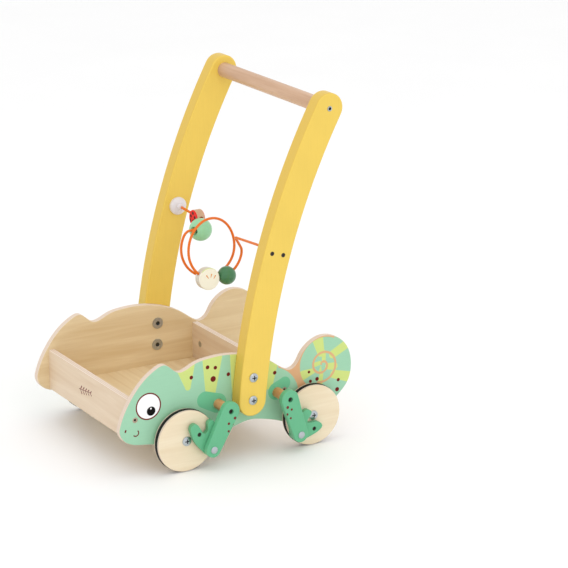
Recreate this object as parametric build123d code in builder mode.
from build123d import *
import math
import os

os.makedirs("parts", exist_ok=True)

# A wooden push-along baby walker in the shape of a chameleon, in millimetres.
# +Z is up, the nose points to -Y and the left side is +X.
# The origin is on the floor, at mid length and mid width.

# Tray and side panels
tray_width = 238.0
panel_thickness = 9.0
inner_x = tray_width / 2
panel_x = inner_x + panel_thickness
board_thickness = 9.0
board_bottom = 47.0
front_board_y = -158.4
front_board_top = 103.5
back_board_y = 67.0
back_board_top = 106.5
floor_bottom = 48.0
floor_thickness = 6.0
tongue_thickness = 3.0
groove_depth = 3.0
groove_gap = 0.1
panel_rounding = 1.2
board_rounding = 1.0

# Board bolts and their cross nuts
board_bolt_z = 78.8
board_bolt_radius = 2.5
board_bolt_head_radius = 3.6
board_bolt_sink = 3.0
board_bolt_head_depth = 0.6
board_bolt_socket = (3.2, 2.0)
nut_reach = 22.0
nut_radius = 4.5
nut_length = 7.5
bore_past_nut = 6.0
bolt_past_nut = 5.0

# Push arms and handle
arm_thickness = 21.5
arm_width = 41.0
arm_x = panel_x + arm_thickness
arm_foot = (10.4, 80.8)
arm_middle = (43.8, 262.0)
arm_head = (126.4, 463.6)
arm_bolt_places = [(11.2, 114.3), (10.2, 82.8)]
arm_rounding = 2.4
arm_bolt_radius = 3.0
arm_bolt_head_radius = 6.2
arm_bolt_head_height = 3.0
arm_bolt_recess = (6.4, 2.0)
t_nut_barrel = 3.9
t_nut_depth = 7.0
t_nut_flange_radius = 8.0
t_nut_flange = 1.2
t_nut_clear = 0.5
bar_radius = 10.4
bar_screw_depth = 35.0
bar_screw_radius = 2.5
bar_screw_head = 3.4
bar_screw_sink = 2.0
bar_screw_stand = 0.4
bar_screw_socket = (4.0, 1.8)

# Wheels
wheel_radius = 42.5
wood_rim_radius = 42.0
tyre_width = 6.0
tyre_depth = 3.0
wheel_thickness = 12.0
wheel_outer_x = 145.0
wheel_inner_x = wheel_outer_x - wheel_thickness
front_axle_y = -87.5
rear_axle_y = 106.9
axle_radius = 3.0
spacer_radius = 7.0
hub_head_radius = 6.4
hub_head_height = 2.1
hub_recess = (6.4, 1.6)
insert_radius = 4.5
insert_length = 8.0
axle_inset = 1.0
tyre_rounding = 0.4
shoulder_share = 0.4
bolt_gap = 0.1
running_gap = 0.06
side_gap = 0.3

# Walking legs: a leg swings on a peg, and its foot hinges on a rivet
foot_inner_x = 147.8
foot_thickness = 6.2
foot_outer_x = foot_inner_x + foot_thickness
leg_inner_x = foot_outer_x + 0.4
leg_thickness = 9.0
leg_outer_x = leg_inner_x + leg_thickness
peg_radius = 7.0
peg_socket_depth = 6.0
hip_radius = 13.0
ankle_radius = 10.8
hinge_screw_radius = 2.5
hinge_screw_bite = 15.0
hinge_screw_head = (3.3, 1.8)
hinge_screw_recess = (3.6, 1.0)
rivet_radius = 2.0
rivet_head_radius = 4.8
rivet_head_height = 2.0
rivet_tail_radius = 3.6
rivet_tail_height = 0.8
crank_screw_radius = 2.0
crank_hole_depth = 8.0
screw_recess_radius = 3.6
leg_recess = 5.0
crank_recess = 3.0
crank_recess_radius = 3.0
crank_head = (2.8, 1.4)
crank_head_recess = (3.2, 0.8)
leg_rounding = 1.5
front_hip = (-30.5, 78.7)
front_ankle = (-56.5, 30.0)
front_crank = (-73.2, 51.7)
rear_hip = (60.0, 78.5)
rear_ankle = (77.1, 25.5)
rear_crank = (103.2, 26.5)

# Bead maze: two turns of wire about an axis that leans from X by a yaw and a tilt
knob_centre = (50.0, 278.3)
knob_radius = 12.5
knob_length = 13.0
knob_skirt = 3.2
knob_bulge = (6.4, 9.2)
knob_neck = (8.0, 4.6)
knob_tip_radius = 3.8
knob_screw_places = [(39.8, 280.2), (56.5, 275.8)]
knob_screw_radius = 1.5
knob_screw_head = 2.9
knob_screw_sink = 1.6
knob_screw_bite = 3.0
knob_screw_stand = 0.2
knob_screw_recess = (3.2, 0.8)
wire_radius = 1.8
wire_gap = 0.05
lead_end_x = inner_x + 5
lead_straight = 12.0
coil_radius = 40.0
coil_pitch = 24.4
coil_yaw = -4.3
coil_tilt = 5.9
coil_middle = Vector(-13.75, 40.5, 245.7)
first_turn_start = -115.0
first_turn_drop = 9.5
last_turn_end = 72.0
last_turn_rise = 8.0
lead_bend = (-57.0, 50.0, 275.3)
far_bend = (-53.2, 62.2, 265.6)
near_bend = (13.6, 61.8, 265.5)

# Beads
bead_rounding = 1.5
ladybird_x = -71.0
ladybird_z = 274.0
ladybird_radius = 12.0
ladybird_thickness = 13.0
ladybird_bore = 3.0
mint_ball_radius = 15.8
mint_ball_bore = 3.8
mint_ball_mouth = 6.4
mint_ball_place = 33.5
mint_ball_hang = 1.9
apple_angle = -20.6
apple_radius = 15.3
apple_thickness = 14.0
green_ball_angle = 22.2
green_ball_radius = 12.8
curved_bore_radius = 2.7


def save(solid, name):
    """Label a finished piece and write it."""
    solid.label = name
    export_step(solid, f"parts/{name}.step")


def rod(places, start, end, radius, side, mode=Mode.ADD):
    """Round rods along X from start to end on one side, at each (y, z)."""
    length = end - start
    for y, z in places:
        with Locations(Location((side * (start + length / 2), y, z), (0, 90, 0))):
            Cylinder(radius, length, mode=mode)


def bore(places, start, end, radius, side):
    """Round holes along X from start to end on one side, at each (y, z)."""
    rod(places, start, end, radius, side, mode=Mode.SUBTRACT)


# The outline of the chameleon in (y, z), clockwise from the nose
head_points = [
    (-176.6, 70.0), (-172.5, 83.0), (-158.9, 108.3), (-142.8, 128.0), (-123.0, 142.6),
    (-110.0, 146.6), (-99.5, 140.0), (-89.5, 133.0),
]
back_points = [
    (-66.0, 140.0), (-46.0, 144.2), (-20.0, 145.0), (12.0, 140.2), (49.9, 124.6), (70.0, 110.6),
    (79.5, 107.0),
]
tail_points = [
    (90.3, 112.3), (98.5, 125.2), (109.6, 136.8), (127.6, 145.1), (148.2, 143.2), (168.6, 128.2),
    (177.7, 98.8), (171.1, 72.3), (151.0, 52.0),
]
belly_points = [
    (132.0, 34.5), (106.9, 25.5), (84.0, 29.5), (60.0, 38.2), (37.0, 44.4), (19.0, 46.8),
    (1.0, 44.0), (-25.0, 36.0), (-58.0, 27.0), (-87.5, 25.0), (-110.0, 33.0), (-130.0, 40.2),
    (-155.0, 44.3), (-171.0, 53.0),
]
axle_places = [(front_axle_y, wheel_radius), (rear_axle_y, wheel_radius)]
board_bolt_places = [
    (front_board_y + board_thickness / 2, board_bolt_z),
    (back_board_y + board_thickness / 2, board_bolt_z + 1),
]
hip_places = [front_hip, rear_hip]


def side_panel(name, side):
    """One chameleon side, with its grooves, sockets and holes."""
    with BuildPart() as panel:
        with BuildSketch(Plane.YZ.offset(side * inner_x)):
            with BuildLine():
                Spline(*head_points, *back_points, *tail_points, *belly_points, periodic=True)
            make_face()
        extrude(amount=side * panel_thickness)
        rims = panel.edges().group_by(Axis.X)[0] + panel.edges().group_by(Axis.X)[-1]
        fillet(rims, radius=panel_rounding)
        with BuildSketch(Plane.YZ.offset(side * (inner_x - 1))):
            with Locations(((front_board_y + back_board_y + board_thickness) / 2,
                            floor_bottom + tongue_thickness / 2)):
                Rectangle(back_board_y - front_board_y - board_thickness,
                          tongue_thickness + 2 * groove_gap)
        extrude(amount=side * (groove_depth + 1 + groove_gap), mode=Mode.SUBTRACT)
        bore(axle_places, inner_x, panel_x, axle_radius + bolt_gap, side)
        bore(axle_places, inner_x, inner_x + insert_length, insert_radius, side)
        bore(board_bolt_places, inner_x, panel_x, board_bolt_radius + bolt_gap, side)
        bore(board_bolt_places, panel_x - board_bolt_sink, panel_x,
             board_bolt_head_radius + 2 * bolt_gap, side)
        bore(arm_bolt_places, inner_x, panel_x, arm_bolt_radius + bolt_gap, side)
        bore(arm_bolt_places, inner_x, inner_x + t_nut_depth, t_nut_barrel, side)
        bore(hip_places, panel_x - peg_socket_depth, panel_x, peg_radius, side)
    save(panel.part, name)


def cross_board(name, y, top, nut_face):
    """A tray end board; nut_face is +1 where the barrel nuts go in from its +Y face."""
    height = top - board_bottom
    with BuildPart() as board:
        with BuildSketch(Plane.XZ.offset(-y)):
            with Locations((0, board_bottom + height / 2)):
                Rectangle(tray_width, height)
        extrude(amount=-board_thickness)
        long_edges = board.edges().filter_by(Axis.X)
        fillet(long_edges, radius=board_rounding)
        middle = y + board_thickness / 2
        place = [p for p in board_bolt_places if abs(p[0] - middle) < 1]
        for side in (1, -1):
            bore(place, inner_x - nut_reach - bore_past_nut, inner_x, board_bolt_radius + bolt_gap, side)
            with BuildSketch(Plane.XZ.offset(-(middle + nut_face * board_thickness / 2))):
                with Locations((side * (inner_x - nut_reach), place[0][1])):
                    Circle(nut_radius)
            extrude(amount=nut_face * nut_length, mode=Mode.SUBTRACT)
    save(board.part, name)


def barrel_nuts():
    """Cross nuts in the end boards, bored for the board bolts."""
    with BuildPart() as nuts:
        for (y, z), nut_face in zip(board_bolt_places, (1, -1)):
            for side in (1, -1):
                with BuildSketch(Plane.XZ.offset(-(y + nut_face * board_thickness / 2))):
                    with Locations((side * (inner_x - nut_reach), z)):
                        Circle(nut_radius)
                extrude(amount=nut_face * nut_length)
                bore([(y, z)], inner_x - nut_reach - bore_past_nut, inner_x, board_bolt_radius, side)
    save(nuts.part, "barrel_nuts")


def hex_socket(places, face, across, depth, side):
    """Hexagon sockets cut inwards from screw heads' faces."""
    with BuildSketch(Plane.YZ.offset(side * face)) as socket:
        with Locations(*places):
            RegularPolygon(across / 2, 6, major_radius=False)
    extrude(socket.sketch, amount=-side * depth, mode=Mode.SUBTRACT)


def board_bolts():
    """Socket bolts sunk in the panels and screwed into the barrel nuts."""
    head_face = panel_x - board_bolt_head_depth
    with BuildPart() as bolts:
        for side in (1, -1):
            rod(board_bolt_places, inner_x - nut_reach - bolt_past_nut,
                panel_x - board_bolt_sink, board_bolt_radius, side)
            rod(board_bolt_places, panel_x - board_bolt_sink, head_face, board_bolt_head_radius, side)
            hex_socket(board_bolt_places, head_face, *board_bolt_socket, side)
    save(bolts.part, "board_bolts")


def tray_floor():
    """The tray's bottom, with a tongue along each side let into the panels' grooves."""
    length = back_board_y - front_board_y - board_thickness
    middle = front_board_y + board_thickness + length / 2
    with BuildPart() as tray:
        with BuildSketch(Plane.XY.offset(floor_bottom)):
            with Locations((0, middle)):
                Rectangle(tray_width, length)
        extrude(amount=floor_thickness)
        with BuildSketch(Plane.XY.offset(floor_bottom)):
            with Locations((0, middle)):
                Rectangle(tray_width + 2 * groove_depth, length)
        extrude(amount=tongue_thickness)
    save(tray.part, "tray_floor")


def push_arm(name, side):
    """A curved flat arm with round ends, on the outside of a side panel."""
    with BuildPart() as arm:
        with BuildSketch(Plane.YZ.offset(side * panel_x)):
            with BuildLine(mode=Mode.PRIVATE) as centre:
                ThreePointArc(arm_foot, arm_middle, arm_head)
            SlotArc(centre.wire(), height=arm_width)
        extrude(amount=side * arm_thickness)
        rims = arm.edges().group_by(Axis.X)[0] + arm.edges().group_by(Axis.X)[-1]
        fillet(rims, radius=arm_rounding)
        bore(arm_bolt_places, panel_x, arm_x, arm_bolt_radius + bolt_gap, side)
        bore([arm_head], panel_x, arm_x, bar_screw_radius + bolt_gap, side)
        bore([arm_head], arm_x - bar_screw_sink, arm_x, bar_screw_head + 2 * bolt_gap, side)
        bore(knob_screw_places, panel_x, arm_x, knob_screw_radius + bolt_gap, side)
        bore(knob_screw_places, arm_x - knob_screw_sink, arm_x, knob_screw_head + bolt_gap, side)
    save(arm.part, name)


def handle_bar():
    """The dowel that the child holds, drilled at both ends."""
    with BuildPart() as bar:
        rod([arm_head], -panel_x, panel_x, bar_radius, 1)
        for side in (1, -1):
            bore([arm_head], panel_x - bar_screw_depth, panel_x, bar_screw_radius, side)
    save(bar.part, "handle_bar")


def handle_screws():
    """Socket screws through the arms into the handle bar."""
    head_face = arm_x + bar_screw_stand
    with BuildPart() as screws:
        for side in (1, -1):
            rod([arm_head], panel_x - bar_screw_depth, arm_x - bar_screw_sink,
                bar_screw_radius, side)
            rod([arm_head], arm_x - bar_screw_sink, head_face, bar_screw_head, side)
            hex_socket([arm_head], head_face, *bar_screw_socket, side)
    save(screws.part, "handle_screws")


def pan_head(place, face, radius, height, side):
    """A low domed head that stands on a face; the dome is a revolved arc."""
    y, z = place
    shoulder = height * shoulder_share
    rise = height - shoulder
    dome_radius = (radius ** 2 + rise ** 2) / (2 * rise)
    half_way = math.asin(radius / dome_radius) / 2
    dome_x = face + height - dome_radius
    with BuildSketch(Plane((0, y, z), x_dir=(side, 0, 0), z_dir=(0, -1, 0))) as half:
        with BuildLine():
            Polyline((face, 0), (face, radius), (face + shoulder, radius))
            ThreePointArc((face + shoulder, radius),
                          (dome_x + dome_radius * math.cos(half_way),
                           dome_radius * math.sin(half_way)),
                          (face + height, 0))
            Line((face + height, 0), (face, 0))
        make_face()
    revolve(half.sketch, axis=Axis((0, y, z), (1, 0, 0)))


def cross_recess(place, face, span, depth, side):
    """A cross-shaped driver recess cut into a head."""
    with BuildSketch(Plane.YZ.offset(side * face)) as cross:
        with Locations(place):
            Rectangle(span, span / 4)
            Rectangle(span / 4, span)
    extrude(cross.sketch, amount=-side * depth, mode=Mode.SUBTRACT)


def arm_bolts():
    """Two pan-head bolts through each arm and panel."""
    with BuildPart() as bolts:
        for side in (1, -1):
            rod(arm_bolt_places, inner_x + t_nut_clear, arm_x, arm_bolt_radius, side)
            for place in arm_bolt_places:
                pan_head(place, arm_x, arm_bolt_head_radius, arm_bolt_head_height, side)
                cross_recess(place, arm_x + arm_bolt_head_height, *arm_bolt_recess, side)
    save(bolts.part, "arm_bolts")


def arm_t_nuts():
    """Flanged nuts let into the panels' inner faces."""
    with BuildPart() as nuts:
        for side in (1, -1):
            rod(arm_bolt_places, inner_x - t_nut_flange, inner_x, t_nut_flange_radius, side)
            rod(arm_bolt_places, inner_x, inner_x + t_nut_depth, t_nut_barrel, side)
            bore(arm_bolt_places, inner_x - t_nut_flange, inner_x + t_nut_depth,
                 arm_bolt_radius, side)
    save(nuts.part, "arm_t_nuts")


# Wheels and axles
def wheel_disc(name, axle, crank, side):
    """A wooden wheel, grooved for its tyre and drilled off centre for the foot's crank screw."""
    y, z = axle
    groove_side = (wheel_thickness - tyre_width) / 2
    with BuildPart() as disc:
        rod([axle], wheel_inner_x, wheel_outer_x, wood_rim_radius, side)
        fillet(disc.edges().filter_by(GeomType.CIRCLE), radius=panel_rounding)
        with BuildSketch(Plane.YZ.offset(side * (wheel_inner_x + groove_side))):
            with Locations((y, z)):
                Circle(wood_rim_radius + 1)
                Circle(wood_rim_radius - tyre_depth, mode=Mode.SUBTRACT)
        extrude(amount=side * tyre_width, mode=Mode.SUBTRACT)
        bore([axle], wheel_inner_x, wheel_outer_x, axle_radius + running_gap, side)
        bore([crank], wheel_outer_x - crank_hole_depth, wheel_outer_x, crank_screw_radius, side)
    save(disc.part, name)


def tyre(name, axle, side):
    """A rubber ring in the wheel's groove, a little proud of the wood."""
    y, z = axle
    groove_side = (wheel_thickness - tyre_width) / 2
    with BuildPart() as ring:
        with BuildSketch(Plane.YZ.offset(side * (wheel_inner_x + groove_side))):
            with Locations((y, z)):
                Circle(wheel_radius)
        extrude(amount=side * tyre_width)
        fillet(ring.edges().filter_by(GeomType.CIRCLE), radius=tyre_rounding)
        bore([axle], wheel_inner_x, wheel_outer_x, wood_rim_radius - tyre_depth, side)
    save(ring.part, name)


def axle_bolts():
    """Shoulder bolts that the wheels turn on."""
    head_seat = wheel_outer_x + side_gap
    with BuildPart() as bolts:
        for side in (1, -1):
            rod(axle_places, inner_x + axle_inset, head_seat, axle_radius, side)
            for place in axle_places:
                pan_head(place, head_seat, hub_head_radius, hub_head_height, side)
                cross_recess(place, head_seat + hub_head_height, *hub_recess, side)
    save(bolts.part, "axle_bolts")


def axle_inserts():
    """Threaded inserts in the panels for the axle bolts."""
    with BuildPart() as inserts:
        for side in (1, -1):
            rod(axle_places, inner_x, inner_x + insert_length, insert_radius, side)
            bore(axle_places, inner_x, inner_x + insert_length, axle_radius, side)
    save(inserts.part, "axle_inserts")


def wheel_spacers():
    """Spacers that keep the wheels off the panels."""
    with BuildPart() as spacers:
        for side in (1, -1):
            rod(axle_places, panel_x, wheel_inner_x - side_gap, spacer_radius, side)
            bore(axle_places, panel_x, wheel_inner_x - side_gap, axle_radius, side)
    save(spacers.part, "wheel_spacers")


# Walking legs
def leg_peg(name, hip, side):
    """The dowel glued into a panel that carries a leg."""
    with BuildPart() as peg:
        rod([hip], panel_x - peg_socket_depth, leg_inner_x - side_gap, peg_radius, side)
        bore([hip], leg_inner_x - hinge_screw_bite, leg_inner_x, hinge_screw_radius, side)
    save(peg.part, name)


def hip_screws():
    """Screws sunk in the legs' recesses; the legs swing on their shanks."""
    seat = leg_outer_x - leg_recess + side_gap
    head_radius, head_height = hinge_screw_head
    with BuildPart() as screws:
        for side in (1, -1):
            rod(hip_places, leg_inner_x - hinge_screw_bite, seat, hinge_screw_radius, side)
            rod(hip_places, seat, seat + head_height, head_radius, side)
            for hip in hip_places:
                cross_recess(hip, seat + head_height, *hinge_screw_recess, side)
    save(screws.part, "hip_screws")


def leg(name, hip, ankle, side):
    """A flat leg, round at the hip and narrower at the ankle."""
    reach = math.dist(hip, ankle)
    lean = math.atan2(ankle[1] - hip[1], ankle[0] - hip[0])
    spread = math.acos((hip_radius - ankle_radius) / reach)

    def rim(centre, radius, angle):
        return (centre[0] + radius * math.cos(angle), centre[1] + radius * math.sin(angle))

    with BuildPart() as plate:
        with BuildSketch(Plane.YZ.offset(side * leg_inner_x)):
            with BuildLine():
                Line(rim(hip, hip_radius, lean + spread), rim(ankle, ankle_radius, lean + spread))
                ThreePointArc(rim(ankle, ankle_radius, lean + spread),
                              rim(ankle, ankle_radius, lean),
                              rim(ankle, ankle_radius, lean - spread))
                Line(rim(ankle, ankle_radius, lean - spread), rim(hip, hip_radius, lean - spread))
                ThreePointArc(rim(hip, hip_radius, lean - spread),
                              rim(hip, hip_radius, lean + math.pi),
                              rim(hip, hip_radius, lean + spread))
            make_face()
        extrude(amount=side * leg_thickness)
        rims = plate.edges().group_by(Axis.X)[0] + plate.edges().group_by(Axis.X)[-1]
        fillet(rims, radius=leg_rounding)
        bore([hip], leg_inner_x, leg_outer_x, hinge_screw_radius + running_gap, side)
        bore([hip], leg_outer_x - leg_recess, leg_outer_x, screw_recess_radius, side)
        bore([ankle], leg_inner_x, leg_outer_x, rivet_radius, side)
    save(plate.part, name)


def rivet(name, ankle, side):
    """The rivet that joins a leg and its foot."""
    tail_start = foot_inner_x - side_gap - rivet_tail_height
    with BuildPart() as pin:
        rod([ankle], tail_start, leg_outer_x, rivet_radius, side)
        rod([ankle], tail_start, tail_start + rivet_tail_height, rivet_tail_radius, side)
        pan_head(ankle, leg_outer_x, rivet_head_radius, rivet_head_height, side)
    save(pin.part, name)


# Foot outlines as (along, across) from the ankle, along the line to the crank hole
front_foot_toes = [
    (-2.0, -10.4), (12.0, -11.4), (24.0, -11.2), (36.0, -8.0), (44.5, -2.5), (43.5, 4.6),
    (34.0, 6.2), (22.0, 7.0), (22.8, 12.5), (30.0, 18.6), (29.8, 24.6), (20.0, 25.2), (8.0, 17.5),
]
rear_foot_toes = [
    (-2.0, -10.4), (9.0, -11.4), (20.0, -9.0), (32.0, -4.8), (38.6, 1.4), (33.5, 8.4),
    (24.0, 9.6), (15.5, 12.0), (19.0, 18.0), (22.6, 25.0), (16.0, 29.6), (7.0, 25.0), (1.0, 14.0),
]


def foot(name, toes, ankle, crank, side):
    """A two-toed foot; its toes lie on the side where the leg is."""
    length = math.dist(ankle, crank)
    along = ((crank[0] - ankle[0]) / length, (crank[1] - ankle[1]) / length)
    turn = 1 if along[0] > 0 else -1
    across = (-turn * along[1], turn * along[0])
    points = [(ankle[0] + u * along[0] + v * across[0],
               ankle[1] + u * along[1] + v * across[1]) for u, v in toes]
    with BuildPart() as plate:
        with BuildSketch(Plane.YZ.offset(side * foot_inner_x)):
            with BuildLine():
                Spline(*points, periodic=True)
            make_face()
            with Locations(ankle):
                Circle(ankle_radius - 0.6)
        extrude(amount=side * foot_thickness)
        bore([ankle], foot_inner_x, leg_inner_x, rivet_radius + running_gap, side)
        bore([crank], foot_inner_x, leg_inner_x, crank_screw_radius, side)
        bore([crank], foot_outer_x - crank_recess, leg_inner_x, crank_recess_radius, side)
    save(plate.part, name)


def crank_screw(name, crank, side):
    """The screw sunk in a foot that reaches for the wheel's off-centre hole."""
    seat = foot_outer_x - crank_recess
    head_radius, head_height = crank_head
    with BuildPart() as screw:
        rod([crank], wheel_outer_x + side_gap, seat, crank_screw_radius, side)
        rod([crank], seat, seat + head_height, head_radius, side)
        cross_recess(crank, seat + head_height, *crank_head_recess, side)
    save(screw.part, name)


# Bead maze
def maze_knob(name, side):
    """A domed plastic knob that holds one end of the maze wire."""
    y, z = knob_centre
    tip = panel_x - knob_length
    skirt = (panel_x - knob_skirt, knob_radius)
    bulge = (panel_x - knob_bulge[0], knob_bulge[1])
    neck = (panel_x - knob_neck[0], knob_neck[1])
    with BuildPart() as knob:
        with BuildSketch(Plane((0, y, z), x_dir=(side, 0, 0), z_dir=(0, -1, 0))):
            with BuildLine():
                Polyline((panel_x, 0), (panel_x, knob_radius), skirt)
                ThreePointArc(skirt, bulge, neck)
                Polyline(neck, (tip, knob_tip_radius), (tip, 0), (panel_x, 0))
            make_face()
        revolve(axis=Axis((0, y, z), (1, 0, 0)))
        bore([knob_centre], tip, lead_end_x, wire_radius + wire_gap, side)
        bore(knob_screw_places, panel_x - knob_screw_bite, panel_x, knob_screw_radius, side)
    save(knob.part, name)


def knob_screws():
    """Two screws through each arm into its maze knob."""
    head_face = arm_x + knob_screw_stand
    with BuildPart() as screws:
        for side in (1, -1):
            rod(knob_screw_places, panel_x - knob_screw_bite, arm_x - knob_screw_sink,
                knob_screw_radius, side)
            rod(knob_screw_places, arm_x - knob_screw_sink, head_face, knob_screw_head, side)
            for place in knob_screw_places:
                cross_recess(place, head_face, *knob_screw_recess, side)
    save(screws.part, "knob_screws")


coil_axis = Vector(1, 0, 0).rotate(Axis.Y, -coil_tilt).rotate(Axis.Z, coil_yaw)
coil_side = Vector(0, 0, 1).cross(coil_axis).normalized()
coil_up = coil_axis.cross(coil_side)
first_turn_centre = coil_middle - coil_axis * (coil_pitch / 2)
last_turn_centre = coil_middle + coil_axis * (coil_pitch / 2)


def turn_point(centre, angle):
    """A point of a turn at an angle from its bottom, positive towards the tail."""
    a = math.radians(angle)
    return centre + (coil_side * math.sin(a) - coil_up * math.cos(a)) * coil_radius


def turn_heading(angle):
    """The wire's direction at an angle of a turn."""
    a = math.radians(angle)
    return coil_side * math.cos(a) + coil_up * math.sin(a)


first_turn_entry = turn_point(first_turn_centre, first_turn_start)
upper_bend = first_turn_entry - turn_heading(first_turn_start) * first_turn_drop
ball_run = (upper_bend - Vector(*far_bend)).normalized()


def maze_path():
    """The wire's centre line: a lead, two turns and the other lead."""
    knob_y, knob_z = knob_centre
    end = turn_point(last_turn_centre, last_turn_end)
    rise = end + turn_heading(last_turn_end) * last_turn_rise
    top = coil_middle + coil_up * math.hypot(coil_radius, coil_pitch / 2)
    with BuildLine() as path:
        FilletPolyline(
            (-lead_end_x, knob_y, knob_z), (-lead_end_x + lead_straight, knob_y, knob_z),
            lead_bend, far_bend, upper_bend, first_turn_entry, radius=[40.0, 7.0, 4.5, 12.0])
        ThreePointArc(first_turn_entry, turn_point(first_turn_centre, 0),
                      turn_point(first_turn_centre, 90))
        ThreePointArc(turn_point(first_turn_centre, 90), top, turn_point(last_turn_centre, -90))
        ThreePointArc(turn_point(last_turn_centre, -90), turn_point(last_turn_centre, 0), end)
        FilletPolyline(
            end, rise, near_bend, (lead_end_x - lead_straight, knob_y, knob_z),
            (lead_end_x, knob_y, knob_z), radius=[13.0, 8.0, 40.0])
    return path


def maze_wire():
    """The rigid plastic-coated steel wire."""
    path = maze_path()
    with BuildPart() as wire:
        with BuildSketch(Plane(path.wire() @ 0, z_dir=path.wire() % 0)):
            Circle(wire_radius)
        sweep(path=path.wire())
    save(wire.part, "maze_wire")


def ladybird_bead():
    """A thick round disc that slides along the wire's far lead, its bore above its middle."""
    knob_y, knob_z = knob_centre
    lead_start_x = -lead_end_x + lead_straight
    slope = (lead_bend[2] - knob_z) / (lead_bend[0] - lead_start_x)
    bore_z = knob_z + slope * (ladybird_x - lead_start_x)
    with BuildPart() as bead:
        with BuildSketch(Plane.XZ.offset(-knob_y)):
            with Locations((ladybird_x, ladybird_z)):
                Circle(ladybird_radius)
        extrude(amount=ladybird_thickness / 2, both=True)
        fillet(bead.edges(), radius=bead_rounding)
        with BuildSketch(Plane((ladybird_x, knob_y, bore_z), z_dir=(1, 0, slope))):
            Circle(ladybird_bore)
        extrude(amount=2 * ladybird_radius, both=True, mode=Mode.SUBTRACT)
    save(bead.part, "ladybird_bead")


def mint_ball_bead():
    """A ball that hangs on the run into the first turn, its bore flared at both mouths."""
    centre = upper_bend - ball_run * mint_ball_place - Vector(0, 0, mint_ball_hang)
    along = Plane(centre, z_dir=ball_run)
    with BuildPart() as bead:
        with Locations(centre):
            Sphere(mint_ball_radius)
        with BuildSketch(along):
            Circle(mint_ball_bore)
        extrude(amount=mint_ball_radius + 2, both=True, mode=Mode.SUBTRACT)
        for outwards in (1, -1):
            with BuildSketch(along.offset(outwards * mint_ball_radius / 2)):
                Circle(mint_ball_bore)
            with BuildSketch(along.offset(outwards * mint_ball_radius)):
                Circle(mint_ball_mouth)
            loft(mode=Mode.SUBTRACT)
    save(bead.part, "mint_ball_bead")


def curved_bore():
    """Cut the curved bore that lets a bead run round the last turn."""
    with Locations(Plane(last_turn_centre, z_dir=coil_axis)):
        Torus(coil_radius, curved_bore_radius, mode=Mode.SUBTRACT)


def apple_bead():
    """A thick round slice of apple on the last turn."""
    centre = turn_point(last_turn_centre, apple_angle)
    with BuildPart() as bead:
        with Locations(Plane(centre, z_dir=coil_axis)):
            Cylinder(apple_radius, apple_thickness)
        fillet(bead.edges().filter_by(GeomType.CIRCLE), radius=bead_rounding)
        curved_bore()
    save(bead.part, "apple_bead")


def green_ball_bead():
    """A small ball on the last turn."""
    with BuildPart() as bead:
        with Locations(turn_point(last_turn_centre, green_ball_angle)):
            Sphere(green_ball_radius)
        curved_bore()
    save(bead.part, "green_ball_bead")


def main():
    for hand, side in (("left", 1), ("right", -1)):
        side_panel(f"{hand}_side_panel", side)
        push_arm(f"{hand}_arm", side)
        maze_knob(f"{hand}_maze_knob", side)
        corners = [
            ("front", axle_places[0], front_hip, front_ankle, front_crank, front_foot_toes),
            ("rear", axle_places[1], rear_hip, rear_ankle, rear_crank, rear_foot_toes),
        ]
        for end, axle, hip, ankle, crank, toes in corners:
            wheel_disc(f"{end}_{hand}_wheel", axle, crank, side)
            tyre(f"{end}_{hand}_tyre", axle, side)
            leg_peg(f"{end}_{hand}_peg", hip, side)
            leg(f"{end}_{hand}_leg", hip, ankle, side)
            rivet(f"{end}_{hand}_rivet", ankle, side)
            foot(f"{end}_{hand}_foot", toes, ankle, crank, side)
            crank_screw(f"{end}_{hand}_crank_screw", crank, side)
    cross_board("front_board", front_board_y, front_board_top, 1)
    cross_board("back_board", back_board_y, back_board_top, -1)
    tray_floor()
    board_bolts()
    barrel_nuts()
    handle_bar()
    handle_screws()
    arm_bolts()
    arm_t_nuts()
    axle_bolts()
    axle_inserts()
    wheel_spacers()
    hip_screws()
    knob_screws()
    maze_wire()
    ladybird_bead()
    mint_ball_bead()
    apple_bead()
    green_ball_bead()


main()
